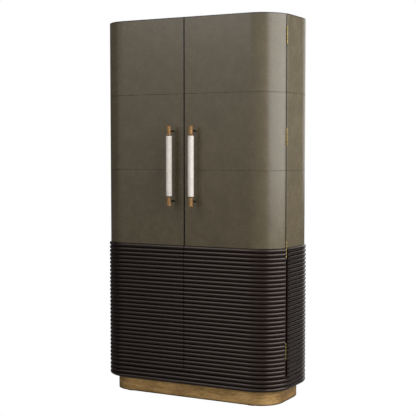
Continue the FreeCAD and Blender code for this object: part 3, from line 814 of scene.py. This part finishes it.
class ARMOIRE_OT_hinges(bpy.types.Operator):
    """Five-knuckle butt hinges in the side gaps"""

    bl_idname = "armoire.hinges"
    bl_label = "Butt hinges"
    KNUCKLES = 5
    KNUCKLE_EDGE = 0.0005
    HEIGHT = 0.095
    NOTCH = 0.003
    LEAF_THICKNESS = 0.0015
    LEAF_EDGE = 0.0003
    LEAF_SHIFT = 0.00125
    # Depths behind the pin of the tabs that carry the knuckles, and of the leaf itself.
    TAB_DEPTHS = (0, 0.0036)
    LEAF_DEPTHS = (0.0033, 0.023)
    # Heights of the upper three hinges, as shares of the way from the lowest to the highest.
    SHARES = (0.3238, 0.6814, 1)
    # Part, its side of the pin, its knuckles and its body.
    LEAVES = (("fixed", 1, (0, 2, 4), "carcass"), ("door", -1, (1, 3), "right_door"))

    def plate(self, pin, hand, depths, middle, length):
        """A strip of a leaf between two depths behind the pin."""
        object_mode()
        turn = sizes().gap_angle
        reach, shift = -sum(depths) / 2, self.LEAF_SHIFT * hand
        place = (
            pin[0] + math.sin(turn) * reach + math.cos(turn) * shift,
            pin[1] - math.cos(turn) * reach + math.sin(turn) * shift, middle)
        bpy.ops.mesh.primitive_cube_add(size=1, location=place, rotation=(0, 0, turn))
        bpy.context.active_object.scale = (self.LEAF_THICKNESS, depths[1] - depths[0], length)
        strip = settle("strip")
        ease(strip, self.LEAF_EDGE, 2)
        return strip

    def execute(self, context):
        pin = centre(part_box("right_hinge_pins"))[:2]
        low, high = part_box("right_hinge_fixed_leaves")
        run = high.z - low.z - self.HEIGHT
        pitch = self.HEIGHT / self.KNUCKLES
        length = pitch - self.NOTCH
        for part, hand, places, body in self.LEAVES:
            pieces = []
            for index in places:
                middle = low.z + pitch * (index + 0.5)
                knuckle = rod(f"knuckle_{index}", sizes().barrel_radius, length, (*pin, middle), sides=24)
                ease(knuckle, self.KNUCKLE_EDGE, 2)
                pieces += [knuckle, self.plate(pin, hand, self.TAB_DEPTHS, middle, length)]
            middle = low.z + self.HEIGHT / 2
            pieces.append(self.plate(pin, hand, self.LEAF_DEPTHS, middle, self.HEIGHT))
            whole = merge(*pieces)
            whole.name = whole.data.name = f"right_hinge_{part}"
            merge(whole, *[raised(whole, run * share) for share in self.SHARES])
            fit_pair(whole, body, "hinge_brass", f"right_hinge_{part}_leaves", smooth)
        return {"FINISHED"}


class ARMOIRE_OT_skirt(bpy.types.Operator):
    """Brass sheet bent round the plinth"""

    bl_idname = "armoire.skirt"
    bl_label = "Plinth skirt"
    THICKNESS = 0.0015
    EDGE = 0.0005
    EDGE_ANGLE = 60
    FRONT_RADIUS = 0.134
    FRONT_STEPS = 32
    REAR_STEPS = 20

    def execute(self, context):
        low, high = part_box("plinth_skirt")
        place = (0, low.y + self.THICKNESS / 2, (low.z + high.z) / 2)
        sheet = outline("plinth_sheet", (self.THICKNESS, high.z - low.z), "x", place)
        corner = (high.x - self.FRONT_RADIUS, low.y + self.FRONT_RADIUS, 0)
        rear = rear_axis()
        rear_radius = high.x - rear[0]
        reach = math.asin((high.y - rear[1]) / rear_radius)
        edit_all(sheet)
        carry(
            ("run", corner[0], 0), ("turn", math.pi / 2, corner, self.FRONT_STEPS),
            ("run", 0, rear[1] - corner[1]), ("turn", reach, rear, self.REAR_STEPS),
            ("run", -rear[0] - rear_radius * math.cos(reach), 0))
        close_both_hands(sheet)
        ease(sheet, self.EDGE, 2, self.EDGE_ANGLE)
        fit(sheet, "carcass", "antique_brass", "plinth_skirt")
        crisp(sheet)
        return {"FINISHED"}


class ARMOIRE_OT_finishes(bpy.types.Operator):
    """Finishes of the construction that stays visible"""

    bl_idname = "armoire.finishes"
    bl_label = "Shell and interior finishes"

    def execute(self, context):
        for part in frame["record"]["subparts"]:
            node = frame["nodes"][part["node"]]
            node.data.materials.clear()
            node.data.materials.append(FINISHES[part["material_slot"]]())
        return {"FINISHED"}


def lamp(name, place, target, width, height, power):
    """A soft rectangular lamp aimed at a point."""
    object_mode()
    bpy.ops.object.light_add(type="AREA", location=place)
    item = bpy.context.active_object
    item.name = name
    item.data.shape = "RECTANGLE"
    item.data.size, item.data.size_y = width, height
    item.data.energy = power
    aim = [goal - start for goal, start in zip(target, place)]
    level = math.hypot(aim[0], aim[1])
    item.rotation_euler = (math.atan2(level, -aim[2]), 0, math.atan2(-aim[0], aim[1]))


def seen_white(tree, given, kind, rays):
    """Mix a shader with plain white light where these rays meet it."""
    path = tree.nodes.new("ShaderNodeLightPath")
    seen = path.outputs[rays[0]]
    for ray in rays[1:]:
        seen = math_node(tree, "MAXIMUM", seen, path.outputs[ray])
    white = tree.nodes.new(kind)
    white.inputs["Color"].default_value = (1, 1, 1, 1)
    white.inputs["Strength"].default_value = 1
    mix = tree.nodes.new("ShaderNodeMixShader")
    for socket, value in zip(mix.inputs, (seen, given, white.outputs[0])):
        tree.links.new(value, socket)
    return mix.outputs[0]


def matt(name, grey, roughness):
    """A plain grey material without shine."""
    return finish(name, base_color=(grey, grey, grey, 1), roughness=roughness, specular_ior_level=0)


class ARMOIRE_OT_stage(bpy.types.Operator):
    """Pale floor, soft studio lamps and the camera"""

    bl_idname = "armoire.stage"
    bl_label = "Studio stage"
    FLOOR_SIZE = 60
    FLOOR_GREY = 0.42
    FLAG_GREY = 0.18
    FLAG_HEIGHT = 4
    WORLD_LIGHT = 0.15
    # Name, width, place and turn of each flag.
    FLAGS = (
        ("right_flag", 1.4, (1.885, 2.44, 2), -0.44),
        ("left_flag", 4, (-2.7, 0.5, 2), math.pi / 2))
    # Name, place, target, width, height and power of each lamp.
    LAMPS = (
        ("right_softbox", (3.7, -0.45, 2.3), (0.5, -0.45, 1.6), 5.0, 3.0, 208),
        ("top_softbox", (-0.6, -1.9, 4.1), (0, -0.2, 1.2), 3.0, 2.0, 27),
        ("left_softbox", (-2.0, -4.3, 3.6), (0, -0.2, 1.5), 1.6, 1.6, 35))
    CAMERA_PLACE = (2.8435, -5.2546, 1.4021)
    CAMERA_TURN = (math.radians(86.132), 0, math.radians(28.151))
    CAMERA_LENS = 89.99
    CAMERA_SENSOR = 36
    CAMERA_SHIFT = 0.03

    def lay_floor(self):
        """A grey floor that shows white to the camera."""
        object_mode()
        bpy.ops.mesh.primitive_plane_add(size=self.FLOOR_SIZE)
        floor = settle("studio_floor")
        material, tree, shader = matt("pale_floor", self.FLOOR_GREY, 0.9)
        rays = ("Is Camera Ray", "Is Transmission Ray")
        pale = seen_white(tree, shader.outputs[0], "ShaderNodeEmission", rays)
        tree.links.new(pale, tree.nodes["Material Output"].inputs[0])
        floor.data.materials.append(material)

    def hang_flags(self):
        """Grey flags behind the corners, out of the camera's sight, to keep their reflections dark."""
        cloth = matt("grey_cloth", self.FLAG_GREY, 1)[0]
        for name, width, place, turn in self.FLAGS:
            object_mode()
            bpy.ops.mesh.primitive_plane_add(size=1, location=place, rotation=(math.pi / 2, 0, turn))
            flag = bpy.context.active_object
            flag.scale = (width, self.FLAG_HEIGHT, 1)
            settle(name)
            flag.data.materials.append(cloth)
            flag.visible_camera = flag.visible_diffuse = flag.visible_shadow = False

    def light_world(self, scene):
        """Dim surroundings that show white to the camera and in reflections."""
        world = bpy.data.worlds.new("studio")
        scene.world = world
        world.use_nodes = True
        tree = world.node_tree
        dim = tree.nodes["Background"]
        dim.inputs["Color"].default_value = (1, 1, 1, 1)
        dim.inputs["Strength"].default_value = self.WORLD_LIGHT
        rays = ("Is Camera Ray", "Is Glossy Ray", "Is Transmission Ray")
        white = seen_white(tree, dim.outputs[0], "ShaderNodeBackground", rays)
        tree.links.new(white, tree.nodes["World Output"].inputs[0])

    def set_camera(self, scene):
        """The photo's camera."""
        bpy.ops.object.camera_add(location=self.CAMERA_PLACE, rotation=self.CAMERA_TURN)
        camera = bpy.context.active_object
        camera.name = "photo_camera"
        camera.data.lens = self.CAMERA_LENS
        camera.data.sensor_width = self.CAMERA_SENSOR
        camera.data.shift_y = self.CAMERA_SHIFT
        scene.camera = camera

    def execute(self, context):
        scene = context.scene
        scene.view_settings.view_transform = "Standard"
        self.lay_floor()
        self.hang_flags()
        self.light_world(scene)
        for given in self.LAMPS:
            lamp(*given)
        self.set_camera(scene)
        return {"FINISHED"}


class ARMOIRE_PT_pieces(bpy.types.Panel):
    """Lists the armoire's sizes and the steps that dress it"""

    bl_idname = "ARMOIRE_PT_pieces"
    bl_label = "Bar Armoire"
    bl_space_type = "VIEW_3D"
    bl_region_type = "UI"
    bl_category = "Armoire"

    def draw(self, context):
        column = self.layout.column()
        held = context.scene.armoire_sizes
        for key in held.bl_rna.properties.keys():
            if key not in ("rna_type", "name"):
                column.prop(held, key)
        for operator in OPERATORS:
            column.operator(operator.bl_idname)


OPERATORS = (
    ARMOIRE_OT_leather, ARMOIRE_OT_ribs, ARMOIRE_OT_pulls, ARMOIRE_OT_hinges, ARMOIRE_OT_skirt,
    ARMOIRE_OT_finishes, ARMOIRE_OT_stage)
CLASSES = (ArmoireSizes, *OPERATORS, ARMOIRE_PT_pieces)


def register():
    for item in CLASSES:
        bpy.utils.register_class(item)
    bpy.types.Scene.armoire_sizes = bpy.props.PointerProperty(type=ArmoireSizes)


def unregister():
    del bpy.types.Scene.armoire_sizes
    for item in reversed(CLASSES):
        bpy.utils.unregister_class(item)


def main():
    register()
    for operator in OPERATORS:
        group, name = operator.bl_idname.split(".")
        getattr(getattr(bpy.ops, group), name)()


if __name__ == "__main__":
    main()
